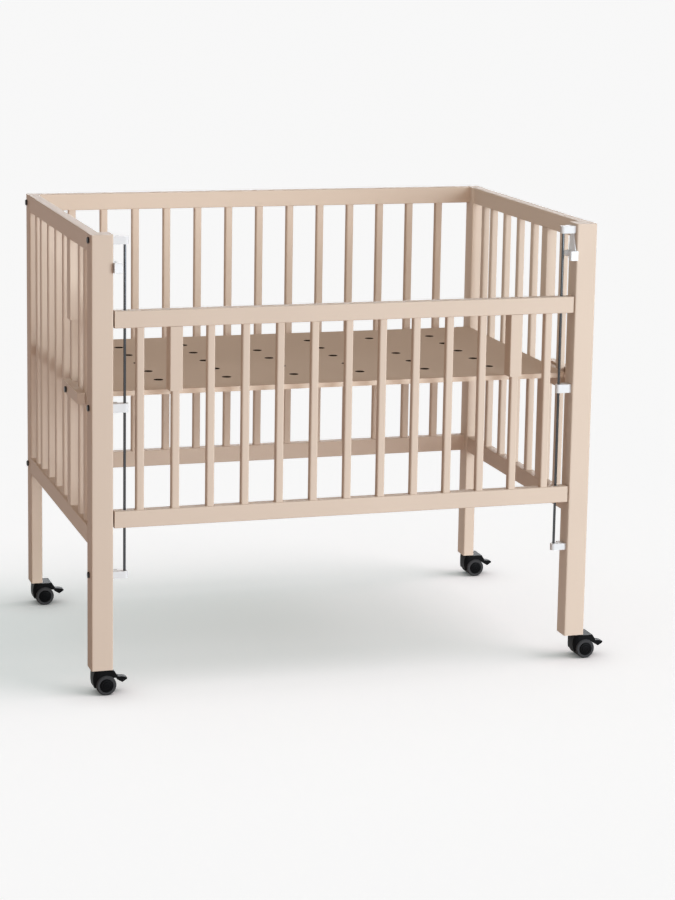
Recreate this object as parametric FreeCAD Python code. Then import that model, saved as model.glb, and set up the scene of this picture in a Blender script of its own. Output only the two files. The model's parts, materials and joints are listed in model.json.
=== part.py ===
import FreeCAD, Part
import math
import os

# A bedside sleeper crib: four posts on braked twin-wheel casters, slatted ends and back,
# a raised mattress base, and a front side that slides up and down on two steel rods.
# Sizes are in millimetres. While it is drawn, X runs along the crib from the middle of
# its length, Y runs back from the front faces of the front posts and Z up from the floor.
# The right-hand pieces are drawn and the left-hand ones mirrored from them. On export
# the whole crib moves so that the middle of its floor outline is the origin.

Vector = FreeCAD.Vector
along_x = Vector(1, 0, 0)
along_y = Vector(0, 1, 0)
along_z = Vector(0, 0, 1)

# ---- driving dimensions of the fixed frame

length = 960.0
depth = 650.0
height = 842.0
caster_height = 47.0

front_post = 40.0
back_post_wide = 23.0
back_post_deep = 40.0
post_round = 3.0

rail_tall = 33.0
rail_thick = 21.0
rail_round = 2.0
back_rail_inset = 1.0
bottom_rail_low = 276.0

slat_wide = 15.0
slat_thick = 14.0
slat_round = 3.5
slat_seat = 8.0
slat_inset = 47.4           # from the sliding rail's end to its outer slat's middle
slat_count = 13

end_slat_inset = 46.0       # from the end rail's end to its outer slat's middle
outer_slat_pitch = 49.0
end_slat_count = 6          # slats between the two outer ones, which stand closer
batten_wide = 28.0
batten_tall = 150.0
batten_place = 2            # the end slat, counted from the front, that the battens carry
batten_round = 2.0
tenon_r = 6.0
tenon_long = 10.0

dowel_r = 4.0
dowel_long = 35.0
dowel_in_post = 15.0
dowel_spread = 16.0

# ---- driving dimensions of the mattress base and what holds it

base_end_gap = 13.0         # from the base's end to the end rail's inner face
base_front = 50.0
base_back_inset = 66.0      # from the back post's back face to the base's back edge
base_top = 551.5
base_thick = 9.0
base_corner = 6.0
base_hole_r = 9.0
base_hole_inset_x = 121.0   # from the base's end to the first holes' middles
base_hole_columns = 6
base_hole_inset_y = 94.0    # from the base's long edge to the first holes' middles
base_hole_rows = 5

cleat_thick = 20.0
cleat_tall = 22.0
cleat_overlap = 9.0         # how far the base's end lies over the cleat
cleat_back_inset = 10.0

clamp_past_outer = 17.0     # past the middle of the end's outer slat
clamp_past_batten = 9.0     # past the middle of the battens
clamp_thick = 15.0
clamp_low = 527.0
clamp_tall = 20.0
clamp_round = 2.5
tongue_play = 1.5

screw_r = 2.0
screw_head_r = 3.6
screw_head_tall = 2.4
base_screw_bite = 6.0
base_screw_count = 4
base_screw_end = 45.0
post_screw_bite = 14.0
post_screw_pitch = 14.0

# ---- driving dimensions of the bolts

bolt_r = 3.0
bolt_play = 0.3
bolt_head_flats = 10.0
hex_sides = 6
bolt_head_tall = 3.5
nut_tall = 5.0
rail_bolt_long = 68.0
barrel_r = 5.0
barrel_long = 14.0
barrel_inset = 40.0         # from the rail's end to the barrel nut's axis

# ---- driving dimensions of the rods and their brackets

rod_r = 2.5
rod_inset = 23.0            # from the post's inner face to the rod's axis
rod_back = 13.0             # from the post's front face to the rod's axis
rod_seat = 10.0             # how far the rod's ends enter the end brackets
rod_play = 0.3
bush_wall = 1.7
bush_flange = 1.0
bush_flange_tall = 0.8
boss_r = 6.5
foot_long = 12.0
foot_back = 27.5
bracket_bolt_back = 20.5
bracket_bolt_bite = 10.0
top_bracket_drop = 18.2     # from the posts' tops to the bracket's underside
top_bracket_tall = 13.8
mid_bracket_low = 521.0
mid_bracket_tall = 16.0
bottom_bracket_low = 216.0
bottom_bracket_tall = 12.5

# ---- driving dimensions of the sliding front side

drop_low = 310.3
drop_tall = 395.0
drop_rail_tall = 31.0
drop_rail_thick = 21.0
drop_inset = 1.0
drop_gap = 2.6
drop_batten_wide = 24.0
drop_batten_deep = 30.0
drop_batten_tall = 117.0
drop_batten_slat_count = 5  # slats from the middle to the one that each batten carries

# ---- driving dimensions of the latch levers

lever_thick = 2.0
lever_play = 0.3
lever_head_r = 6.6
lever_drop = 68.0           # from the posts' tops to the lever's lower end
lever_block_tall = 18.0
lever_block_long = 14.0
lever_block_front = -8.0
lever_block_back = 0.5
lever_foot_front = 3.0
lever_foot_back = 35.0
lever_pin_r = 6.0
lever_pin_back = 28.5
lever_pin_long = 11.0
lever_pin_rise = 4.5        # from the lever's lower end to the underside of its pin

# ---- driving dimensions of the casters, from the stem's axis and the floor

wheel_r = 18.5
wheel_trail = 16.0
wheel_span = 45.0
web_thick = 13.0
web_play = 0.5
tyre_wall = 6.0
tyre_round = 2.0
hub_dome = 1.4
axle_r = 2.5
axle_long = 38.0
turn_play = 0.2

stem_r = 4.0
stem_flange_r = 8.0
stem_flange_tall = 0.9
stem_in_post = 24.0
stem_low = 22.0
insert_r = 6.0
insert_long = 28.0
swivel_play = 0.3

hood_play = 0.9
hood_wide = 40.0
hood_front_x = -4.5         # the ends of the hood's flat top, along the caster
hood_back_x = 30.0
hood_bulge_x = -7.5
hood_bulge_z = 29.0
hood_lip_x = -5.2
hood_tail_x = 38.0
hood_tail_z = 34.0
hood_tail_low = 31.5
hood_nose_round = 13.0
hood_tail_round = 8.0
hood_margin = 1.0
web_low = 14.0
web_axle_r = 9.0

brake_pivot_x = 27.0
brake_pivot_z = 29.0
brake_pin_r = 1.5
brake_eye_r = 3.5
brake_ear_r = 4.8
brake_arm_wide = 6.0
brake_arm_tall = 5.0
brake_slot_play = 0.3
brake_slot_low = 20.0
brake_root = 38.0
brake_root_top = 30.5
brake_root_low = 24.8
brake_crest_x = 51.0
brake_crest_z = 29.5
brake_tip = 57.0
brake_tip_z = 26.0
brake_tip_tall = 3.0
brake_lobe_x = 48.0
brake_lobe_low = 18.8
brake_wide = 14.0
brake_round = 1.0

# ---- places worked out from the dimensions

end_x = length / 2
top_rail_low = height - rail_tall
bottom_rail_high = bottom_rail_low + rail_tall
end_rail_x = (end_x - rail_thick, end_x)
end_rail_y = (front_post, depth - back_post_deep)
end_slat_x = sum(end_rail_x) / 2
front_post_inner = end_x - front_post
back_post_inner = end_x - back_post_wide
back_rail_y = (depth - back_rail_inset - rail_thick, depth - back_rail_inset)
back_slat_y = sum(back_rail_y) / 2
top_rail_z = (top_rail_low, height)
bottom_rail_z = (bottom_rail_low, bottom_rail_high)

drop_half = front_post_inner - drop_gap
drop_y = (drop_inset, drop_inset + drop_rail_thick)
drop_slat_y = sum(drop_y) / 2
drop_high = drop_low + drop_tall
drop_bottom_z = (drop_low, drop_low + drop_rail_tall)
drop_top_z = (drop_high - drop_rail_tall, drop_high)
drop_batten_low = drop_top_z[0] - drop_batten_tall

base_end = end_rail_x[0] - base_end_gap
base_y = (base_front, depth - base_back_inset)
base_z = (base_top - base_thick, base_top)
cleat_x = (base_end - cleat_overlap, base_end - cleat_overlap + cleat_thick)
cleat_y = (base_front, depth - cleat_back_inset)
cleat_z = (base_z[0] - cleat_tall, base_z[0])
clamp_x = (end_slat_x + slat_thick / 2, end_slat_x + slat_thick / 2 + clamp_thick)
clamp_z = (clamp_low, clamp_low + clamp_tall)
clamp_bolt_z = (clamp_low + cleat_z[1]) / 2

rod_x = front_post_inner - rod_inset
bush_r = rod_r + rod_play + bush_wall
top_bracket_low = height - top_bracket_drop
top_bracket_z = (top_bracket_low, top_bracket_low + top_bracket_tall)
mid_bracket_z = (mid_bracket_low, mid_bracket_low + mid_bracket_tall)
bottom_bracket_z = (bottom_bracket_low, bottom_bracket_low + bottom_bracket_tall)
bracket_levels = (top_bracket_z, mid_bracket_z, bottom_bracket_z)
lever_x = (front_post_inner - lever_play - lever_thick, front_post_inner - lever_play)
top_foot_x = lever_x[0] - lever_play
lever_pivot_z = sum(top_bracket_z) / 2
lever_low = height - lever_drop

caster_x = end_x - back_post_wide / 2
caster_ys = (front_post / 2, depth - back_post_deep / 2)


def spread(first, last, count):
    """Evenly spaced places from the first to the last."""
    step = (last - first) / (count - 1)
    return [first + place * step for place in range(count)]


def end_slat_places():
    """The Y places of the end slats, from the front to the back."""
    outer = (end_rail_y[0] + end_slat_inset, end_rail_y[1] - end_slat_inset)
    inner = spread(outer[0] + outer_slat_pitch, outer[1] - outer_slat_pitch, end_slat_count)
    return [outer[0]] + inner + [outer[1]]


def long_slat_places():
    """The X places of the slats of the back and of the sliding front."""
    outer = drop_half - slat_inset
    return spread(-outer, outer, slat_count)


end_slat_ys = end_slat_places()
long_slat_xs = long_slat_places()
batten_y = end_slat_ys[batten_place]
slat_pitch = long_slat_xs[1] - long_slat_xs[0]
drop_batten_x = drop_batten_slat_count * slat_pitch
clamp_y = (end_slat_ys[0] - clamp_past_outer, batten_y + clamp_past_batten)
tongue_y = (
    end_slat_ys[batten_place - 1] + slat_wide / 2 + tongue_play,
    batten_y - slat_wide / 2 - tongue_play,
)
clamp_bolt_y = sum(tongue_y) / 2


# ---- shapes


def block(x, y, z):
    """A box between three pairs of limits."""
    corner = Vector(x[0], y[0], z[0])
    return Part.makeBox(x[1] - x[0], y[1] - y[0], z[1] - z[0], corner)


def around(middle, size):
    """The pair of limits of a size about its middle."""
    return (middle - size / 2, middle + size / 2)


def rounded(shape, direction, radius):
    """The shape with its straight edges along one direction rounded."""
    edges = []
    for edge in shape.Edges:
        if not isinstance(edge.Curve, Part.Line):
            continue
        if abs(edge.Curve.Direction.dot(direction)) > 0.999:
            edges.append(edge)
    return shape.makeFillet(radius, edges)


def round_bar(x, y, z, direction, radius):
    """A box between limits, with its long edges rounded."""
    return rounded(block(x, y, z), direction, radius)


def shaft(start, direction, long, radius):
    """A cylinder from its start along a direction."""
    return Part.makeCylinder(radius, long, start, direction)


def hexagon(start, direction, flats, tall):
    """A six-sided head or nut, standing on its start point."""
    corner = flats / 2 / math.cos(math.pi / hex_sides)
    turn = FreeCAD.Rotation(along_z, direction)
    points = []
    for side in range(hex_sides + 1):
        angle = 2 * math.pi * side / hex_sides
        flat = Vector(corner * math.cos(angle), corner * math.sin(angle), 0)
        points.append(start + turn.multVec(flat))
    face = Part.Face(Part.makePolygon(points))
    return face.extrude(direction * tall)


def plate(outline, direction, thick):
    """A flat plate: a closed outline of points, pushed along a direction."""
    face = Part.Face(Part.makePolygon(list(outline) + [outline[0]]))
    return face.extrude(direction * thick)


def joined(shapes):
    """Shapes melted into one solid."""
    whole = shapes[0].fuse(shapes[1:]).removeSplitter()
    return whole.Solids[0]


def without(shape, tools):
    """The shape with the tools cut out of it."""
    if not tools:
        return shape
    return shape.cut(Part.makeCompound(tools))


def mirrored(shape):
    """The left-hand twin of a right-hand shape."""
    return shape.mirror(Vector(0, 0, 0), along_x)


def both(shapes):
    """Right-hand shapes together with their left-hand twins."""
    return list(shapes) + [mirrored(shape) for shape in shapes]


def shifted(shape, x, y, z):
    """A copy of the shape, moved."""
    moved = shape.copy()
    moved.translate(Vector(x, y, z))
    return moved


# ---- bolts and dowels, with the holes that they need


def bolt(start, direction, long):
    """A hex bolt: its head stands outside the start point, its shank runs along."""
    head = hexagon(start, direction * -1, bolt_head_flats, bolt_head_tall)
    return joined([head, shaft(start, direction, long, bolt_r)])


def bolt_hole(start, direction, long):
    """The clearance hole of a bolt."""
    return shaft(start, direction, long, bolt_r + bolt_play)


def screw(start, direction, long):
    """A countersunk screw whose head is flush with its start point."""
    head = Part.makeCone(screw_head_r, screw_r, screw_head_tall, start, direction)
    return joined([head, shaft(start, direction, long, screw_r)])


def rail_dowels():
    """The right-hand dowels between the end rails and the posts."""
    dowels = []
    starts = (front_post - dowel_in_post, end_rail_y[1] + dowel_in_post - dowel_long)
    for rail_z in (top_rail_z, bottom_rail_z):
        for z in around(sum(rail_z) / 2, dowel_spread):
            for y in starts:
                dowels.append(shaft(Vector(end_slat_x, y, z), along_y, dowel_long, dowel_r))
    return dowels


def rail_bolt_starts():
    """Where the right-hand bolts of the back rails enter the post."""
    return [Vector(end_x, back_slat_y, sum(z) / 2) for z in (top_rail_z, bottom_rail_z)]


def rail_bolts():
    """The right-hand bolts that draw the back rails to the post."""
    return [bolt(start, along_x * -1, rail_bolt_long) for start in rail_bolt_starts()]


def barrel_nuts():
    """The right-hand barrel nuts, which lie in the back rails from behind."""
    nuts = []
    for start in rail_bolt_starts():
        place = Vector(back_post_inner - barrel_inset, back_rail_y[1], start.z)
        nut = shaft(place, along_y * -1, barrel_long, barrel_r)
        nuts.append(without(nut, [shaft(start, along_x * -1, rail_bolt_long, bolt_r)]))
    return nuts


def bracket_bolt_starts():
    """Where the right-hand bolts of the rod brackets enter the front post."""
    return [Vector(end_x, bracket_bolt_back, sum(z) / 2) for z in bracket_levels]


def bracket_bolts():
    """The right-hand bracket bolts. The top one is also the latch lever's pivot."""
    long = front_post + bracket_bolt_bite
    return [bolt(start, along_x * -1, long) for start in bracket_bolt_starts()]


def clamp_bolt_start():
    """Where the clamp bolt enters the clamp block."""
    return Vector(clamp_x[1], clamp_bolt_y, clamp_bolt_z)


def clamp_bolt_reach():
    """The length of the clamp bolt's shank, out to its nut's far face."""
    return clamp_x[1] - cleat_x[0] + nut_tall


def post_screw_starts():
    """Where the right-hand screws that hold the cleat enter it."""
    middle = (end_rail_y[1] + cleat_y[1]) / 2
    z = sum(cleat_z) / 2
    return [Vector(cleat_x[0], y, z) for y in around(middle, post_screw_pitch)]


def post_screws():
    """The right-hand screws through the cleat into the back post."""
    long = cleat_thick + post_screw_bite
    return [screw(start, along_x, long) for start in post_screw_starts()]


def base_screws():
    """The right-hand screws up through the cleat into the mattress base."""
    screws = []
    x = base_end - cleat_overlap / 2
    first = base_y[0] + base_screw_end
    step = (base_y[1] - base_screw_end - first) / (base_screw_count - 1)
    for place in range(base_screw_count):
        start = Vector(x, first + place * step, cleat_z[0])
        screws.append(screw(start, along_z, cleat_tall + base_screw_bite))
    return screws


# ---- posts


def insert_hole(y):
    """The hole for the caster's insert in a post."""
    return shaft(Vector(caster_x, y, caster_height), along_z, insert_long, insert_r)


def front_right_post():
    """A square front post."""
    post = round_bar((front_post_inner, end_x), (0, front_post), (caster_height, height),
                     along_z, post_round)
    tools = rail_dowels()
    tools += [bolt_hole(start, along_x * -1, front_post) for start in bracket_bolt_starts()]
    tools.append(insert_hole(caster_ys[0]))
    return without(post, tools)


def back_right_post():
    """A back post, narrower along the crib."""
    post = round_bar((back_post_inner, end_x), (end_rail_y[1], depth), (caster_height, height),
                     along_z, post_round)
    tools = rail_dowels()
    tools += [bolt_hole(start, along_x * -1, back_post_wide) for start in rail_bolt_starts()]
    tools += post_screws()
    tools.append(insert_hole(caster_ys[1]))
    return without(post, tools)


# ---- end and back panels


def end_batten_top():
    """The underside of the upper batten."""
    return top_rail_low - batten_tall


def end_slats():
    """The right-hand end's slats."""
    slats = []
    for place, y in enumerate(end_slat_ys):
        z = (bottom_rail_high - slat_seat, top_rail_low + slat_seat)
        if place == batten_place:
            z = (clamp_low - slat_seat, end_batten_top() + slat_seat)
        slats.append(round_bar(around(end_slat_x, slat_thick), around(y, slat_wide), z,
                               along_z, slat_round))
    return slats


def tenon(x, y, z, up):
    """A round tenon that stands up or hangs down from a face."""
    return shaft(Vector(x, y, z), along_z * up, tenon_long, tenon_r)


def end_battens():
    """The two wide battens above and below the clamp block of the right-hand end."""
    battens = []
    for z, seat, up in (((end_batten_top(), top_rail_low), top_rail_low, 1),
                        ((bottom_rail_high, clamp_low), bottom_rail_high, -1)):
        batten = round_bar(end_rail_x, around(batten_y, batten_wide), z, along_z, batten_round)
        whole = joined([batten, tenon(end_slat_x, batten_y, seat, up)])
        battens.append(without(whole, [end_slats()[batten_place]]))
    return battens


def end_rail(rail_z):
    """A rail of the right-hand end, between its two posts."""
    rail = round_bar(end_rail_x, end_rail_y, rail_z, along_y, rail_round)
    return without(rail, end_slats() + end_battens() + rail_dowels())


def back_slats():
    """The slats of the back."""
    z = (bottom_rail_high - slat_seat, top_rail_low + slat_seat)
    slats = []
    for x in long_slat_xs:
        slats.append(round_bar(around(x, slat_wide), around(back_slat_y, slat_thick), z,
                               along_z, slat_round))
    return slats


def back_rail(rail_z):
    """A rail of the back, with holes for its bolts and barrel nuts."""
    rail = round_bar((-back_post_inner, back_post_inner), back_rail_y, rail_z, along_x, rail_round)
    tools = []
    for start in rail_bolt_starts():
        place = Vector(back_post_inner - barrel_inset, back_rail_y[1], start.z)
        tools.append(bolt_hole(start, along_x * -1, rail_bolt_long))
        tools.append(shaft(place, along_y * -1, barrel_long, barrel_r))
    return without(rail, back_slats() + both(tools))


# ---- mattress base


def mattress_base():
    """The flat base, with its grid of air holes."""
    base = round_bar((-base_end, base_end), base_y, base_z, along_z, base_corner)
    holes = []
    for x in spread(-base_end + base_hole_inset_x, base_end - base_hole_inset_x, base_hole_columns):
        for y in spread(base_y[0] + base_hole_inset_y, base_y[1] - base_hole_inset_y, base_hole_rows):
            holes.append(shaft(Vector(x, y, base_z[0]), along_z, base_thick, base_hole_r))
    return without(base, holes + both(base_screws()))


def base_cleat():
    """The right-hand cleat that carries the base's end."""
    cleat = round_bar(cleat_x, cleat_y, cleat_z, along_y, rail_round)
    hole = bolt_hole(clamp_bolt_start(), along_x * -1, clamp_bolt_reach())
    return without(cleat, [hole] + base_screws() + post_screws())


def clamp_block():
    """The block outside the right-hand end, with its tongue between two slats."""
    outside = round_bar(clamp_x, clamp_y, clamp_z, along_z, clamp_round)
    tongue_z = (clamp_low, cleat_z[1])
    tongue = block((cleat_x[1], clamp_x[0] + clamp_thick / 2), tongue_y, tongue_z)
    hole = bolt_hole(clamp_bolt_start(), along_x * -1, clamp_bolt_reach())
    return without(joined([outside, tongue]), [hole])


def clamp_bolt():
    """The bolt through the clamp block and the cleat."""
    return bolt(clamp_bolt_start(), along_x * -1, clamp_bolt_reach())


def clamp_nut():
    """The nut behind the cleat."""
    seat = Vector(cleat_x[0], clamp_bolt_y, clamp_bolt_z)
    nut = hexagon(seat, along_x * -1, bolt_head_flats, nut_tall)
    return without(nut, [shaft(seat, along_x * -1, nut_tall, bolt_r)])


# ---- rods and brackets


def guide_rod():
    """The right-hand rod that the sliding front runs on."""
    low = bottom_bracket_z[1] - rod_seat
    high = top_bracket_z[0] + rod_seat
    return shaft(Vector(rod_x, rod_back, low), along_z, high - low, rod_r)


def bracket(z, foot_x):
    """A rod bracket: a boss round the rod, an arm to the post and a foot for the bolt."""
    tall = z[1] - z[0]
    arm_y = around(rod_back, 2 * boss_r)
    boss = shaft(Vector(rod_x, rod_back, z[0]), along_z, tall, boss_r)
    arm = block((rod_x, foot_x), arm_y, z)
    foot = block((foot_x - foot_long, foot_x), (rod_back, foot_back), z)
    pad = block((foot_x - foot_long, front_post_inner), (arm_y[0], rod_back), z)
    return joined([boss, arm, foot, pad])


def bracket_at(z, foot_x):
    """A right-hand bracket with the holes for its rod and bolt."""
    tools = [guide_rod()]
    start = Vector(end_x, bracket_bolt_back, sum(z) / 2)
    tools.append(shaft(start, along_x * -1, front_post + bracket_bolt_bite, bolt_r))
    return without(bracket(z, foot_x), tools)


# ---- sliding front


def drop_batten_shapes():
    """The two deep battens under the sliding front's top rail."""
    z = (drop_batten_low, drop_top_z[0])
    y = (drop_inset, drop_inset + drop_batten_deep)
    batten = round_bar(around(drop_batten_x, drop_batten_wide), y, z, along_z, batten_round)
    return both([joined([batten, tenon(drop_batten_x, drop_slat_y, drop_top_z[0], 1)])])


def drop_slats():
    """The slats of the sliding front. Two of them end in the battens."""
    slats = []
    for x in long_slat_xs:
        high = drop_top_z[0] + slat_seat
        if abs(abs(x) - drop_batten_x) < slat_pitch / 2:
            high = drop_batten_low + slat_seat
        z = (drop_bottom_z[1] - slat_seat, high)
        slats.append(round_bar(around(x, slat_wide), around(drop_slat_y, slat_thick), z,
                               along_z, slat_round))
    return slats


def drop_battens():
    """The battens with the slats' seats cut in them."""
    return [without(batten, drop_slats()) for batten in drop_batten_shapes()]


def bush(face_z, inward):
    """A bush in a sliding rail, its flange let into the rail's outer face."""
    start = Vector(rod_x, rod_back, face_z)
    sleeve = shaft(start, along_z * inward, drop_rail_tall, bush_r)
    flange = shaft(start, along_z * inward, bush_flange_tall, bush_r + bush_flange)
    return joined([sleeve, flange])


def bush_places():
    """Each sliding rail's outer face, and the way from it into the rail."""
    return ((drop_bottom_z[0], 1), (drop_top_z[1], -1))


def rod_bushes():
    """The right-hand bushes, bored to run on the rod."""
    bushes = []
    for face_z, inward in bush_places():
        start = Vector(rod_x, rod_back, face_z)
        bore = shaft(start, along_z * inward, drop_rail_tall, rod_r + rod_play)
        bushes.append(without(bush(face_z, inward), [bore]))
    return bushes


def drop_rail(rail_z):
    """A rail of the sliding front."""
    rail = round_bar((-drop_half, drop_half), drop_y, rail_z, along_x, rail_round)
    seats = both([bush(face_z, inward) for face_z, inward in bush_places()])
    return without(rail, drop_slats() + drop_batten_shapes() + seats)


# ---- latch levers


def latch_lever():
    """The right-hand lever, which hangs from the top bracket's bolt.

    It has a block in front of the sliding front's path and a pin behind that path.
    """
    head_y = around(bracket_bolt_back, 2 * lever_head_r)
    neck_z = top_bracket_low - lever_play
    outline = (
        Vector(lever_x[0], head_y[0], neck_z),
        Vector(lever_x[0], head_y[0], lever_pivot_z),
        Vector(lever_x[0], head_y[1], lever_pivot_z),
        Vector(lever_x[0], lever_foot_back, lever_low + lever_block_tall),
        Vector(lever_x[0], lever_foot_back, lever_low),
        Vector(lever_x[0], lever_block_front, lever_low),
        Vector(lever_x[0], lever_block_front, lever_low + lever_block_tall),
        Vector(lever_x[0], lever_foot_front, lever_low + lever_block_tall),
    )
    leaf = plate(outline, along_x, lever_thick)
    pivot = Vector(lever_x[0], bracket_bolt_back, lever_pivot_z)
    head = shaft(pivot, along_x, lever_thick, lever_head_r)
    grip = block((lever_x[1] - lever_block_long, lever_x[1]),
                 (lever_block_front, lever_block_back),
                 (lever_low, lever_low + lever_block_tall))
    grip = rounded(grip, along_x, brake_round)
    pin_start = Vector(lever_x[1], lever_pin_back, lever_low + lever_pin_rise + lever_pin_r)
    pin = shaft(pin_start, along_x * -1, lever_pin_long, lever_pin_r)
    bore = shaft(pivot, along_x, lever_thick, bolt_r + turn_play)
    return without(joined([leaf, head, grip, pin]), [bore])


# ---- casters, drawn with the stem's axis through the origin and the floor at zero


def stem():
    """The swivel stem, fixed in the post."""
    shank = shaft(Vector(0, 0, stem_low), along_z, caster_height + stem_in_post - stem_low, stem_r)
    start = Vector(0, 0, caster_height - stem_flange_tall)
    return joined([shank, shaft(start, along_z, stem_flange_tall, stem_flange_r)])


def stem_insert():
    """The steel sleeve in the post's end that grips the stem."""
    start = Vector(0, 0, caster_height)
    sleeve = shaft(start, along_z, insert_long, insert_r)
    return without(sleeve, [stem()])


def axle_cylinder(radius, long):
    """A cylinder about the wheels' axle, centred between them."""
    start = Vector(wheel_trail, -long / 2, wheel_r)
    return shaft(start, along_y, long, radius)


def hood_slab(wide):
    """The hood's side outline, pushed across the caster."""
    side = -wide / 2
    top = caster_height - stem_flange_tall - swivel_play
    front = Vector(hood_front_x, side, top)
    bulge = Vector(hood_bulge_x, side, hood_bulge_z)
    lip = Vector(hood_lip_x, side, web_low)
    corners = [
        front,
        Vector(hood_back_x, side, top),
        Vector(hood_tail_x, side, hood_tail_z),
        Vector(brake_pivot_x, side, hood_tail_low),
        Vector(wheel_trail, side, web_low),
        lip,
    ]
    edges = [Part.Arc(lip, bulge, front).toShape()] + Part.makePolygon(corners).Edges
    return Part.Face(Part.Wire(edges)).extrude(along_y * wide)


def hood_plan():
    """The hood's outline from above, as tall as the caster: a rounder nose, and a tail."""
    nose = hood_bulge_x - hood_margin
    tail = hood_tail_x + hood_margin
    y = around(0, hood_wide)
    z = (0, caster_height)
    return joined([
        round_bar((nose, tail - hood_tail_round), y, z, along_z, hood_nose_round),
        round_bar((nose + hood_nose_round, tail), y, z, along_z, hood_tail_round),
    ])


def hood_body():
    """The hood over the two wheels, before it is joined to the web."""
    body = hood_slab(hood_wide).common(hood_plan())
    return body.cut(axle_cylinder(wheel_r + hood_play, hood_wide))


def brake_pivot_cylinder(radius, long):
    """A cylinder about the brake pedal's pivot."""
    return shaft(Vector(brake_pivot_x, -long / 2, brake_pivot_z), along_y, long, radius)


def caster_hood():
    """The hood and the web between the wheels, bored for the stem and axle."""
    round_axle = axle_cylinder(web_axle_r, web_thick)
    ear = brake_pivot_cylinder(brake_ear_r, web_thick)
    whole = joined([hood_body(), hood_slab(web_thick), round_axle, ear])
    socket_low = stem_low - swivel_play
    socket = shaft(Vector(0, 0, socket_low), along_z, caster_height, stem_r + swivel_play)
    slot_x = (brake_pivot_x - brake_eye_r - 2 * brake_slot_play, brake_tip)
    slot = block(slot_x, around(0, brake_arm_wide + 2 * brake_slot_play),
                 (brake_slot_low, brake_pivot_z + brake_eye_r + 2 * brake_slot_play))
    pin_hole = brake_pivot_cylinder(brake_pin_r + turn_play, web_thick)
    axle_hole = axle_cylinder(axle_r, web_thick)
    return without(whole, [socket, slot, pin_hole, axle_hole])


def axle():
    """The axle, fixed in the hood's web."""
    return axle_cylinder(axle_r, axle_long)


def wheel_limits():
    """The inner and outer faces of the wheel in front of the web, from the web's middle."""
    return (-wheel_span / 2, -web_thick / 2 - web_play)


def revolved(profile):
    """A closed outline of radius and Y pairs, turned about the axle."""
    points = [Vector(wheel_trail, y, wheel_r + radius) for radius, y in profile]
    face = Part.Face(Part.makePolygon(points + [points[0]]))
    return face.revolve(Vector(wheel_trail, 0, wheel_r), along_y, 360)


def both_wheels(shape):
    """A wheel piece and its twin on the far side of the web."""
    return [shape, shape.mirror(Vector(0, 0, 0), along_y)]


def tyres():
    """The two rubber tyres."""
    outer, inner = wheel_limits()
    outer += hub_dome
    low = wheel_r - tyre_wall
    profile = (
        (low, inner),
        (wheel_r - tyre_round, inner),
        (wheel_r, inner - tyre_round),
        (wheel_r, outer + tyre_round),
        (wheel_r - tyre_round, outer),
        (low, outer),
    )
    return both_wheels(revolved(profile))


def hubs():
    """The two wheel hubs, domed outside and bored inside for the axle."""
    outer, inner = wheel_limits()
    rim = wheel_r - tyre_wall
    bore = axle_r + turn_play
    bore_end = -axle_long / 2 - turn_play
    profile = (
        (bore, inner),
        (rim, inner),
        (rim, outer + hub_dome),
        (rim / 2, outer + hub_dome / 4),
        (0, outer),
        (0, bore_end),
        (bore, bore_end),
    )
    return both_wheels(revolved(profile))


def brake_pedal():
    """The brake pedal: a tongue behind the wheels on an arm that pivots between them."""
    side = -brake_wide / 2
    outline = (
        Vector(brake_root, side, brake_root_top),
        Vector(brake_crest_x, side, brake_crest_z),
        Vector(brake_tip, side, brake_tip_z + brake_tip_tall / 2),
        Vector(brake_tip, side, brake_tip_z - brake_tip_tall / 2),
        Vector(brake_lobe_x, side, brake_lobe_low),
        Vector(brake_root, side, brake_root_low),
    )
    tongue = rounded(plate(outline, along_y, brake_wide), along_y, brake_round)
    arm = block((brake_pivot_x, brake_root + 2 * brake_round), around(0, brake_arm_wide),
                around(brake_pivot_z, brake_arm_tall))
    eye = brake_pivot_cylinder(brake_eye_r, brake_arm_wide)
    pin = brake_pivot_cylinder(brake_pin_r, web_thick)
    return joined([tongue, arm, eye, pin])


# ---- the origin, and the export


def floor_middle():
    """The middle of the crib's outline on the floor, casters and pedals included."""
    right = caster_x + brake_tip
    left = -clamp_x[1] - bolt_head_tall
    front = lever_block_front
    back = caster_ys[1] + wheel_span / 2
    return Vector((left + right) / 2, (front + back) / 2, 0)


def save(name, shapes):
    """Write one named piece, or one group of alike pieces, from the part's origin."""
    middle = floor_middle()
    placed = [shifted(shape, -middle.x, -middle.y, 0) for shape in shapes]
    whole = placed[0] if len(placed) == 1 else Part.makeCompound(placed)
    whole.exportStep("parts/" + name + ".step")


def save_pair(name, shapes):
    """Write a right-hand node and its mirrored left-hand one."""
    save(name.format("right"), shapes)
    save(name.format("left"), [mirrored(shape) for shape in shapes])


def save_frame():
    """Write the pieces of the fixed frame."""
    save_pair("front_{}_post", [front_right_post()])
    save_pair("back_{}_post", [back_right_post()])
    save_pair("{}_top_rail", [end_rail(top_rail_z)])
    save_pair("{}_bottom_rail", [end_rail(bottom_rail_z)])
    save_pair("{}_slats", end_slats())
    save_pair("{}_battens", end_battens())
    save("back_top_rail", [back_rail(top_rail_z)])
    save("back_bottom_rail", [back_rail(bottom_rail_z)])
    save("back_slats", back_slats())
    save("rail_dowels", both(rail_dowels()))
    save("rail_bolts", both(rail_bolts()))
    save("barrel_nuts", both(barrel_nuts()))


def save_base():
    """Write the mattress base and what holds it."""
    save("mattress_base", [mattress_base()])
    save_pair("{}_base_cleat", [base_cleat()])
    save("clamp_blocks", both([clamp_block()]))
    save("clamp_bolts", both([clamp_bolt()]))
    save("clamp_nuts", both([clamp_nut()]))
    save("base_screws", both(base_screws()))
    save("cleat_screws", both(post_screws()))


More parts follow.
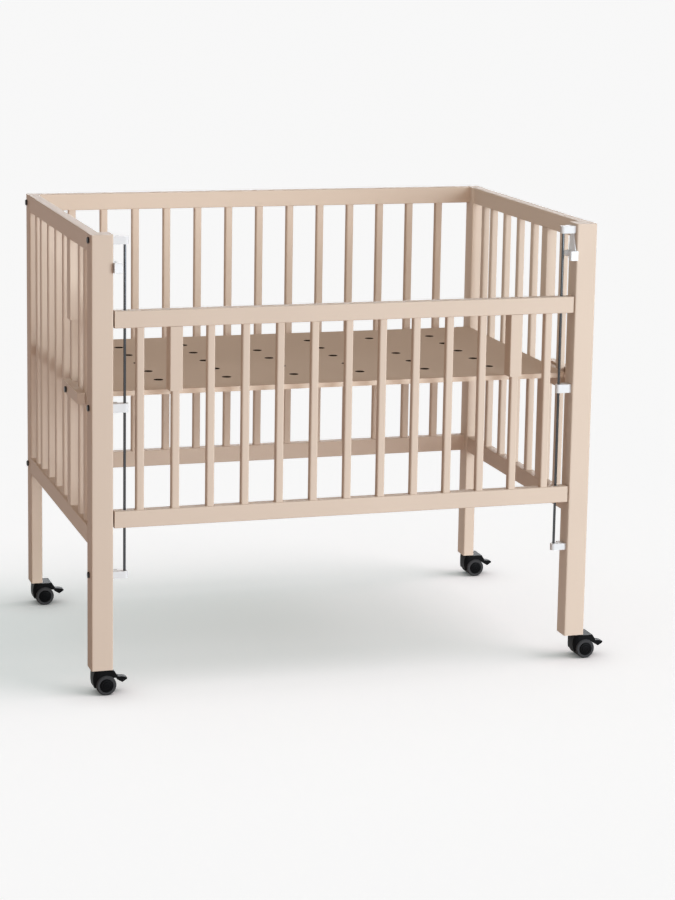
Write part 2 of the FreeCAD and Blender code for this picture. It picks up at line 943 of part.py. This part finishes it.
def save_front():
    """Write the rods, their brackets, the sliding front and the latches."""
    save("guide_rods", both([guide_rod()]))
    save("top_brackets", both([bracket_at(top_bracket_z, top_foot_x)]))
    save("middle_brackets", both([bracket_at(mid_bracket_z, front_post_inner)]))
    save("bottom_brackets", both([bracket_at(bottom_bracket_z, front_post_inner)]))
    save("bracket_bolts", both(bracket_bolts()))
    save("drop_top_rail", [drop_rail(drop_top_z)])
    save("drop_bottom_rail", [drop_rail(drop_bottom_z)])
    save("drop_slats", drop_slats())
    save("drop_battens", drop_battens())
    save("rod_bushes", both(rod_bushes()))
    save_pair("{}_latch_lever", [latch_lever()])


def save_casters():
    """Write the four casters. All of them trail to the right."""
    places = []
    for row, y in zip(("front", "back"), caster_ys):
        for side, x in (("left", -caster_x), ("right", caster_x)):
            places.append((row + "_" + side + "_caster_", x, y))
    save("caster_stems", [shifted(stem(), x, y, 0) for name, x, y in places])
    save("stem_inserts", [shifted(stem_insert(), x, y, 0) for name, x, y in places])
    for name, x, y in places:
        save(name + "hood", [shifted(caster_hood(), x, y, 0)])
        save(name + "axle", [shifted(axle(), x, y, 0)])
        save(name + "tyres", [shifted(tyre, x, y, 0) for tyre in tyres()])
        save(name + "hubs", [shifted(hub, x, y, 0) for hub in hubs()])
        save(name + "brake", [shifted(brake_pedal(), x, y, 0)])


os.makedirs("parts", exist_ok=True)
save_frame()
save_base()
save_front()
save_casters()
print("origin", floor_middle())
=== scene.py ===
import json
import math

import bpy
from mathutils import Matrix, Vector


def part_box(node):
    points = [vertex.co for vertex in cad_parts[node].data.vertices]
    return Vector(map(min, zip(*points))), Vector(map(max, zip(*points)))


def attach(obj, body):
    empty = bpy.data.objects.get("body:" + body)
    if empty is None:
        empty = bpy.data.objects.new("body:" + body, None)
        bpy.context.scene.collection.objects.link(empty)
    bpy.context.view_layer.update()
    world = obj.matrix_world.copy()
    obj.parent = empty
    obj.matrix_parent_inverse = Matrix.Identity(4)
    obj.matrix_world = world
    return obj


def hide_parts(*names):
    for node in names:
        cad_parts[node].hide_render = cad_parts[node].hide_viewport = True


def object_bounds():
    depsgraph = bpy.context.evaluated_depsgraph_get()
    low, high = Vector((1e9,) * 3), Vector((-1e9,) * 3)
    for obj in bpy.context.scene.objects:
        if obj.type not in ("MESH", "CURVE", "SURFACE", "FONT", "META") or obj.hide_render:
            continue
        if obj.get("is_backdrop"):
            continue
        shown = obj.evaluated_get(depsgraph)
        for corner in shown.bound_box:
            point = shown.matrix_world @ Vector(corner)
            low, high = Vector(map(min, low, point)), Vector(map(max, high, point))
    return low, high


# The looks of a bedside sleeper crib: satin taupe paint on its wooden frame, slim steel
# rods, white moulded brackets and latch levers, and black twin-wheel casters.
# Lengths are in metres, in the crib's own frame: +X to its right, +Y to its back, +Z up.

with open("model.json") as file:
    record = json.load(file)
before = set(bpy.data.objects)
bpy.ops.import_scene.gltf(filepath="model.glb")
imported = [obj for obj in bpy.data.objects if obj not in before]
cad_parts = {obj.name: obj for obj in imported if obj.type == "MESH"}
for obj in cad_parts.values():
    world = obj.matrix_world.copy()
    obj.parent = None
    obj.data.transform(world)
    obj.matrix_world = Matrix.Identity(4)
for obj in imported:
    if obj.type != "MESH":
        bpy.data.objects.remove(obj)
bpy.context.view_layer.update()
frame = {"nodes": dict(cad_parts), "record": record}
nodes = frame["nodes"]
scene = bpy.context.scene

# ---- the camera, from the photograph's vantage

CAMERA_PLACE = Vector((-1.35624, -4.55302, 1.40950))
CAMERA_TURN = math.radians(17.281)       # to the right of straight back
CAMERA_DOWN = math.radians(9.904)
CAMERA_ROLL = math.radians(0.947)
CAMERA_LENS = 98.804                     # millimetres, for a 36 mm tall picture
PICTURE_TALL = 36.0
LENS_SHIFT = -0.12                       # the photograph's posts stand nearly upright
VIEW_REACH = 400.0                       # past the floor's far edge


def add_camera():
    """The camera at the photograph's viewing angle."""
    forward = Vector((
        math.sin(CAMERA_TURN) * math.cos(CAMERA_DOWN),
        math.cos(CAMERA_TURN) * math.cos(CAMERA_DOWN),
        -math.sin(CAMERA_DOWN),
    ))
    level = Vector((math.cos(CAMERA_TURN), -math.sin(CAMERA_TURN), 0))
    upright = level.cross(forward)
    right = level * math.cos(CAMERA_ROLL) + upright * math.sin(CAMERA_ROLL)
    up = upright * math.cos(CAMERA_ROLL) - level * math.sin(CAMERA_ROLL)
    turn = Matrix((right, up, -forward)).transposed().to_4x4()
    data = bpy.data.cameras.new("camera")
    data.sensor_fit = "VERTICAL"
    data.sensor_height = PICTURE_TALL
    data.lens = CAMERA_LENS
    data.shift_y = LENS_SHIFT
    data.clip_end = VIEW_REACH
    camera = bpy.data.objects.new("camera", data)
    camera.matrix_world = Matrix.Translation(CAMERA_PLACE) @ turn
    scene.collection.objects.link(camera)
    scene.camera = camera


# ---- material building blocks

EVEN = (1.0, 1.0, 1.0)                   # a pattern that is drawn out along no axis


def drawn_out(along, amount):
    """A pattern's scale on each axis, drawn out along one."""
    return tuple(amount if axis == along else 1.0 for axis in "xyz")


def tinted(colour, share, lift=0.0):
    """A colour made paler or deeper."""
    return tuple(min(1.0, part * share + lift) for part in colour)


class Nodes:
    """A new material's node tree, with short calls to add and wire its nodes."""

    def __init__(self, name):
        self.material = bpy.data.materials.new(name)
        self.material.use_nodes = True
        self.tree = self.material.node_tree
        self.shader = self.tree.nodes["Principled BSDF"]

    def add(self, kind, **settings):
        """A node with its properties set."""
        node = self.tree.nodes.new(kind)
        for name, value in settings.items():
            setattr(node, name, value)
        return node

    def link(self, source, target):
        """Wire an output socket to an input socket."""
        self.tree.links.new(source, target)

    def surface(self, colour, roughness, normal):
        """Wire the shader's colour, roughness and relief."""
        self.link(colour, self.shader.inputs["Base Color"])
        self.link(roughness, self.shader.inputs["Roughness"])
        self.link(normal, self.shader.inputs["Normal"])

    def place(self, stretch):
        """The object's own coordinates, scaled along each axis."""
        where = self.add("ShaderNodeTexCoord")
        mapping = self.add("ShaderNodeMapping")
        mapping.inputs["Scale"].default_value = stretch
        self.link(where.outputs["Object"], mapping.inputs["Vector"])
        return mapping.outputs["Vector"]

    def noise(self, stretch, scale, detail, roughness=0.5, distortion=0.0):
        """Noise over the object's own coordinates."""
        node = self.add("ShaderNodeTexNoise")
        node.inputs["Scale"].default_value = scale
        node.inputs["Detail"].default_value = detail
        node.inputs["Roughness"].default_value = roughness
        node.inputs["Distortion"].default_value = distortion
        self.link(self.place(stretch), node.inputs["Vector"])
        return node.outputs["Fac"]

    def between(self, factor, low, high):
        """A factor from 0 to 1, spread between two numbers."""
        node = self.add("ShaderNodeMapRange")
        node.inputs["To Min"].default_value = low
        node.inputs["To Max"].default_value = high
        self.link(factor, node.inputs["Value"])
        return node.outputs["Result"]

    def calculate(self, operation, first, second=None):
        """One step of arithmetic on a socket and another socket or a number."""
        node = self.add("ShaderNodeMath", operation=operation)
        self.link(first, node.inputs[0])
        if isinstance(second, float):
            node.inputs[1].default_value = second
        elif second is not None:
            self.link(second, node.inputs[1])
        return node.outputs["Value"]

    def blend(self, factor, first, second):
        """Two colours mixed by a factor. Each is a socket or a plain colour."""
        node = self.add("ShaderNodeMix", data_type="RGBA")
        self.link(factor, node.inputs["Factor"])
        for socket, colour in ((node.inputs["A"], first), (node.inputs["B"], second)):
            if isinstance(colour, tuple):
                socket.default_value = (*colour, 1)
            else:
                self.link(colour, socket)
        return node.outputs["Result"]

    def bump(self, height, strength, distance, before=None):
        """A bump from a height, on top of an earlier bump."""
        node = self.add("ShaderNodeBump")
        node.inputs["Strength"].default_value = strength
        node.inputs["Distance"].default_value = distance
        self.link(height, node.inputs["Height"])
        if before is not None:
            self.link(before, node.inputs["Normal"])
        return node.outputs["Normal"]


# ---- paint, plastic and steel

PAINT_PALE = 1.035                       # shares of the paint's own colour
PAINT_DEEP = 0.955
PAINT_STREAK = 0.93
STREAKS_SHOWN = 0.28
PAINT_ROUGHNESS = (0.46, 0.58)
PAINT_GLOSS = 0.10
PLASTIC_PALE = 1.06                      # shares of the plastic's own colour
PLASTIC_LIFT = 0.002
PLASTIC_DEEP = 0.94
STEEL_PALE = 1.08                        # shares of the steel's own colour
STEEL_DEEP = 0.9


def painted_wood(name, colour, along):
    """Satin paint over wood: the grain shows faintly along the piece's length."""
    paint = Nodes(name)
    cloud = paint.noise(EVEN, scale=5.0, detail=2.0)
    lengthwise = drawn_out(along, amount=0.06)
    grain = paint.noise(lengthwise, scale=260.0, detail=3.0, roughness=0.55, distortion=0.6)
    spray = paint.noise(EVEN, scale=900.0, detail=2.0)
    tint = paint.blend(cloud, tinted(colour, PAINT_DEEP), tinted(colour, PAINT_PALE))
    streak = paint.between(grain, 0.0, STREAKS_SHOWN)
    relief = paint.bump(grain, strength=0.12, distance=0.0004)
    relief = paint.bump(spray, strength=0.08, distance=0.0002, before=relief)
    paint.surface(
        paint.blend(streak, tint, tinted(colour, PAINT_STREAK)),
        paint.between(spray, *PAINT_ROUGHNESS),
        relief,
    )
    paint.shader.inputs["Specular IOR Level"].default_value = PAINT_GLOSS
    return paint


def plastic(name, colour, roughness, grain_scale, grain_depth, gloss):
    """Moulded plastic or rubber with a fine eroded grain."""
    made = Nodes(name)
    cloud = made.noise(EVEN, scale=40.0, detail=3.0)
    grain = made.noise(EVEN, scale=grain_scale, detail=2.0)
    made.surface(
        made.blend(cloud, tinted(colour, PLASTIC_DEEP), tinted(colour, PLASTIC_PALE, PLASTIC_LIFT)),
        made.between(cloud, *roughness),
        made.bump(grain, strength=0.25, distance=grain_depth),
    )
    made.shader.inputs["Specular IOR Level"].default_value = gloss
    return made


def steel(name, colour, roughness, along):
    """Drawn or plated steel, with fine marks along one axis."""
    made = Nodes(name)
    marks = made.noise(drawn_out(along, amount=0.03), scale=1500.0, detail=2.0)
    cloud = made.noise(EVEN, scale=60.0, detail=3.0)
    made.surface(
        made.blend(cloud, tinted(colour, STEEL_DEEP), tinted(colour, STEEL_PALE)),
        made.between(marks, *roughness),
        made.bump(marks, strength=0.1, distance=0.0001),
    )
    made.shader.inputs["Metallic"].default_value = 1.0
    return made


# ---- materials on the CAD nodes

TAUPE = (0.66, 0.535, 0.435)
BOARD = (0.66, 0.53, 0.425)
BEECH = (0.62, 0.44, 0.27)
# painted shade: the near-black colour put on the air holes' walls
HOLE_SHADE_COLOUR = (0.035, 0.022, 0.015)
HOLE_MARGIN = 0.03                       # no air hole is so near the board's edge
UPRIGHT = 0.5                            # a wall's normal rises or falls less than this

# slot: colour, lowest and highest roughness, the axis of the marks
STEELS = {
    "rod_steel": ((0.085, 0.088, 0.094), (0.12, 0.18), "z"),
    "zinc_steel": ((0.6, 0.6, 0.62), (0.28, 0.45), "z"),
    "dark_steel": ((0.05, 0.05, 0.052), (0.35, 0.5), "x"),
}
# slot: colour, lowest and highest roughness, the grain's scale and depth, gloss
PLASTICS = {
    "white_plastic": ((0.72, 0.725, 0.73), (0.42, 0.55), 1800.0, 0.0001, 0.3),
    "black_plastic": ((0.003, 0.003, 0.0035), (0.38, 0.5), 1500.0, 0.0002, 0.06),
    "tyre_rubber": ((0.045, 0.045, 0.047), (0.6, 0.8), 900.0, 0.0003, 0.1),
}


def dress(names, made):
    """Give named CAD nodes one material."""
    for name in names:
        mesh = nodes[name].data
        mesh.materials.clear()
        mesh.materials.append(made.material)


def node_names(slot):
    """The CAD nodes of one of the record's material slots."""
    parts = frame["record"]["subparts"]
    return [part["node"] for part in parts if part["material_slot"] == slot]


def paint_shade_in_holes(paint, low, high):
    """Painted shade in the air holes: near-black walls on upright faces away from the board's own edges.
    """
    facing = paint.add("ShaderNodeSeparateXYZ")
    paint.link(paint.add("ShaderNodeNewGeometry").outputs["Normal"], facing.inputs["Vector"])
    where = paint.add("ShaderNodeSeparateXYZ")
    paint.link(paint.add("ShaderNodeTexCoord").outputs["Object"], where.inputs["Vector"])
    rise = paint.calculate("ABSOLUTE", facing.outputs["Z"])
    inside = paint.calculate("LESS_THAN", rise, UPRIGHT)
    middle = (low + high) / 2
    for number, axis in enumerate("XY"):
        offset = paint.calculate("SUBTRACT", where.outputs[axis], middle[number])
        away = paint.calculate("ABSOLUTE", offset)
        reach = high[number] - middle[number] - HOLE_MARGIN
        near = paint.calculate("LESS_THAN", away, reach)
        inside = paint.calculate("MULTIPLY", inside, near)
    # the painted shade takes the place of the paint's colour on the holes' walls
    colour = paint.shader.inputs["Base Color"]
    painted = colour.links[0].from_socket
    paint.link(paint.blend(inside, painted, HOLE_SHADE_COLOUR), colour)


def grain_axis(name):
    """The axis along which a wooden piece runs."""
    if "cleat" in name or "clamp" in name:
        return "y"
    if "rail" in name:
        return "y" if name.startswith(("left", "right")) else "x"
    return "z"


def dress_wood():
    """Paint on the wooden pieces, its grain along each piece."""
    paints = {axis: painted_wood("paint_along_" + axis, TAUPE, axis) for axis in "xyz"}
    for name in node_names("painted_wood"):
        dress([name], paints[grain_axis(name)])
    board = painted_wood("paint_board", BOARD, "x")
    # painted shade in the board's air holes
    paint_shade_in_holes(board, *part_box("mattress_base"))
    dress(node_names("painted_board"), board)
    dress(node_names("bare_wood"), painted_wood("beech", BEECH, "y"))


def dress_hardware():
    """Steel, plastic and rubber."""
    for slot, looks in STEELS.items():
        dress(node_names(slot), steel(slot, *looks))
    for slot, looks in PLASTICS.items():
        dress(node_names(slot), plastic(slot, *looks))


# ---- moulded and machined edges

# how wide the softened edges are, by the end of a node's name
SOFT_EDGES = {
    "brackets": 0.0009,
    "latch_lever": 0.0006,
    "caster_brake": 0.0009,
    "caster_hood": 0.0008,
    "bolts": 0.0004,
    "clamp_blocks": 0.0012,
}
BEVEL_STEPS = 3
SHARP_ANGLE = math.radians(38)


def soften_edges():
    """Small bevels on the sharp edges of plastic pieces, bolts and clamp blocks."""
    for name, node in nodes.items():
        for ending, width in SOFT_EDGES.items():
            if not name.endswith(ending):
                continue
            bevel = node.modifiers.new("soft_edges", "BEVEL")
            bevel.width = width
            bevel.segments = BEVEL_STEPS
            bevel.limit_method = "ANGLE"
            bevel.angle_limit = SHARP_ANGLE


# ---- the hubs of the casters' wheels

CASTERS = ("front_left", "front_right", "back_left", "back_right")
HUB_STEPS = 64
HUB_PROFILE = (
    # share of the hub's radius, and how far the face lies inside the hub's outermost plane
    (0.00, 0.0000), (0.16, 0.0000), (0.20, 0.0005), (0.26, 0.0005), (0.30, 0.0000),
    (0.52, 0.0003), (0.56, 0.0010), (0.62, 0.0010), (0.66, 0.0004), (0.86, 0.0008),
    (0.92, 0.0018), (0.97, 0.0018), (1.00, 0.0010),
)
HUB_RIM = 0.0125                         # the hub's radius
HUB_INNER = 0.007                        # from the caster's middle to a hub's flat inner face


def hub_mesh(name, middle, outer):
    """Two turned hubs with moulded rings on their faces, one on each side of a caster."""
    verts, faces = [], []
    rings = [(share * HUB_RIM, outer - drop) for share, drop in HUB_PROFILE]
    rings += [(HUB_RIM, HUB_INNER), (0.0, HUB_INNER)]
    for way in (-1, 1):
        rows = []
        for radius, away in rings:
            steps = HUB_STEPS if radius else 1
            rows.append(range(len(verts), len(verts) + steps))
            for step in range(steps):
                angle = 2 * math.pi * step / HUB_STEPS
                verts.append((
                    middle.x + radius * math.cos(angle),
                    middle.y + way * away,
                    middle.z + radius * math.sin(angle),
                ))
        for first, second in zip(rows, rows[1:]):
            for step in range(HUB_STEPS):
                here, there = (row[step % len(row)] for row in (first, second))
                here_next, there_next = (row[(step + 1) % len(row)] for row in (first, second))
                face = list(dict.fromkeys((here, here_next, there_next, there)))
                faces.append(face if way > 0 else face[::-1])
    mesh = bpy.data.meshes.new(name)
    mesh.from_pydata(verts, [], faces)
    return mesh


def add_hubs():
    """Ringed hubs in place of the plain ones, which ride with the wheels."""
    for place in CASTERS:
        name = place + "_ringed_hubs"
        node = place + "_caster_hubs"
        low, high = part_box(node)
        mesh = hub_mesh(name, (low + high) / 2, (high.y - low.y) / 2)
        mesh.materials.append(nodes[node].data.materials[0])
        mesh.shade_smooth()
        mesh.set_sharp_from_angle(angle=SHARP_ANGLE)
        hubs = bpy.data.objects.new(name, mesh)
        scene.collection.objects.link(hubs)
        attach(hubs, place + "_wheels")
        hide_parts(node)


# ---- the floor

FLOOR_HALF = 60.0
FLOOR_COLOUR = (0.8, 0.8, 0.8)
FLOOR_ROUGHNESS = 0.9
FLOOR_SHOWN = (0.435, 0.534, 0.562)      # the glow that brings the lit floor to the backdrop's white
FLOOR_NEAR = 0.7                         # how far round it the floor looks for what stands on it
FLOOR_PAINTED_SHADE = 0.45                      # painted shadow: how much of the glow is lost right under a piece
CONTACT_NEAR = 0.09                      # the same for the painted dark spots under the casters
CONTACT_PAINTED_SHADE = 0.9


def add_floor():
    """A plain pale floor that shows nearly white. It takes the crib's real shadow, and its glow is
    dimmed under the crib and the casters as a painted shadow.
    """
    mesh = bpy.data.meshes.new("floor")
    corners = [(x * FLOOR_HALF, y * FLOOR_HALF, 0.0) for x, y in ((-1, -1), (1, -1), (1, 1), (-1, 1))]
    mesh.from_pydata(corners, [], [(0, 1, 2, 3)])
    floor = bpy.data.objects.new("floor", mesh)
    scene.collection.objects.link(floor)
    made = Nodes("floor")
    made.shader.inputs["Base Color"].default_value = (*FLOOR_COLOUR, 1)
    made.shader.inputs["Roughness"].default_value = FLOOR_ROUGHNESS
    made.shader.inputs["Specular IOR Level"].default_value = 0.0
    path = made.add("ShaderNodeLightPath")
    strength = made.calculate("MAXIMUM", path.outputs["Is Camera Ray"], path.outputs["Is Glossy Ray"])
    strength = made.calculate("MAXIMUM", strength, path.outputs["Is Transmission Ray"])
    # painted shadow: the glow dims where the crib and its casters stand near the floor
    for reach, hidden in ((FLOOR_NEAR, FLOOR_PAINTED_SHADE), (CONTACT_NEAR, CONTACT_PAINTED_SHADE)):
        open_sky = made.add("ShaderNodeAmbientOcclusion")
        open_sky.inputs["Distance"].default_value = reach
        left = made.between(open_sky.outputs["AO"], 1 - hidden, 1.0)
        strength = made.calculate("MULTIPLY", strength, left)
    glow = made.add("ShaderNodeEmission")
    glow.inputs["Color"].default_value = (*FLOOR_SHOWN, 1)
    made.link(strength, glow.inputs["Strength"])
    both = made.add("ShaderNodeAddShader")
    made.link(made.shader.outputs["BSDF"], both.inputs[0])
    made.link(glow.outputs["Emission"], both.inputs[1])
    out = made.tree.nodes["Material Output"]
    made.link(both.outputs["Shader"], out.inputs["Surface"])
    mesh.materials.append(made.material)
    floor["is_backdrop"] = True
    return floor


# ---- the light

WHITE_SHOWN = 0.93                       # the backdrop's white, as the camera sees it
SKY_LIGHT = (0.300, 0.225, 0.175)        # the even light on the crib, warm against the cool lamps


def receivers(name, objects, state):
    """What a lamp lights: these objects alone, or all but these."""
    listed = bpy.data.collections.new(name)
    for number, thing in enumerate(objects):
        listed.objects.link(thing)
        listed.collection_objects[number].light_linking.link_state = state
    return listed


def nodes_at(*beginnings):
    """The CAD nodes whose names begin with one of these."""
    return [node for name, node in nodes.items() if name.startswith(beginnings)]


def add_soft_box(name, lit, place, wide, watts, tint):
    """A square soft lamp that faces the crib's middle."""
    data = bpy.data.lights.new(name, "AREA")
    data.energy = watts
    data.color = tint
    data.size = wide
    lamp = bpy.data.objects.new(name, data)
    place = Vector(place)
    low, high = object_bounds()
    turn = (place - (low + high) / 2).to_track_quat("Z", "Y").to_matrix().to_4x4()
    lamp.matrix_world = Matrix.Translation(place) @ turn
    lamp.light_linking.receiver_collection = lit
    scene.collection.objects.link(lamp)


def add_sun(name, lit, power, tint, turn, high, soft):
    """A soft distant lamp, so many degrees to the right of the crib's front and so high."""
    data = bpy.data.lights.new(name, "SUN")
    data.energy = power
    data.color = tint
    data.angle = math.radians(soft)
    lamp = bpy.data.objects.new(name, data)
    turn = math.radians(turn)
    high = math.radians(high)
    source = Vector((
        math.sin(turn) * math.cos(high),
        -math.cos(turn) * math.cos(high),
        math.sin(high),
    ))
    lamp.matrix_world = source.to_track_quat("Z", "Y").to_matrix().to_4x4()
    lamp.light_linking.receiver_collection = lit
    scene.collection.objects.link(lamp)


def add_sky():
    """Even light from all round, shown white."""
    world = bpy.data.worlds.new("world")
    scene.world = world
    world.use_nodes = True
    tree = world.node_tree
    tint = tree.nodes.new("ShaderNodeMix")
    tint.data_type = "RGBA"
    tint.inputs["A"].default_value = (*SKY_LIGHT, 1)
    tint.inputs["B"].default_value = (WHITE_SHOWN, WHITE_SHOWN, WHITE_SHOWN, 1)
    path = tree.nodes.new("ShaderNodeLightPath")
    tree.links.new(path.outputs["Is Camera Ray"], tint.inputs["Factor"])
    tree.links.new(tint.outputs["Result"], tree.nodes["Background"].inputs["Color"])


def add_lights(floor):
    """Soft lamps, each on the pieces that it lights in the photograph."""
    crib = receivers("all_but_the_floor", [floor], "EXCLUDE")
    back = receivers("the_back", nodes_at("back_", "mattress_base"), "INCLUDE")
    right_nodes = nodes_at("right_", "front_right_post", "back_right_post")
    right_end = receivers("the_right_end", right_nodes, "INCLUDE")
    left_nodes = nodes_at("left_", "clamp_blocks", "right_latch_lever")
    left_end = receivers("the_left_end", left_nodes, "INCLUDE")
    upright = receivers("all_but_the_level_faces", [floor, nodes["mattress_base"]], "EXCLUDE")
    ground = receivers("the_floor_alone", [floor], "INCLUDE")
    add_soft_box("key", crib, place=(2.6, -4.6, 0.9), wide=3.2, watts=322.0, tint=(0.881, 1.0, 1.077))
    add_soft_box("back", back, place=(-0.4, -3.4, 1.1), wide=1.2, watts=26.0, tint=(1.0, 0.95, 0.9))
    add_soft_box("left", left_end, place=(-1.5, -4.4, 1.2), wide=2.0, watts=45.0, tint=(0.94, 1.0, 1.04))
    add_sun("fill", right_end, power=0.883, tint=(0.832, 1.0, 1.077), turn=-85, high=10, soft=60)
    add_sun("top", crib, power=0.50, tint=(0.86, 1.0, 1.08), turn=60, high=76, soft=35)
    add_sun("behind", upright, power=1.9, tint=(0.95, 1.0, 1.05), turn=165, high=4, soft=40)
    add_sun("ground", ground, power=1.06, tint=(1.12, 0.95, 1.0), turn=70, high=60, soft=36)
    add_sky()


add_camera()
dress_wood()
dress_hardware()
soften_edges()
add_hubs()
add_lights(add_floor())
scene.view_settings.view_transform = "Standard"
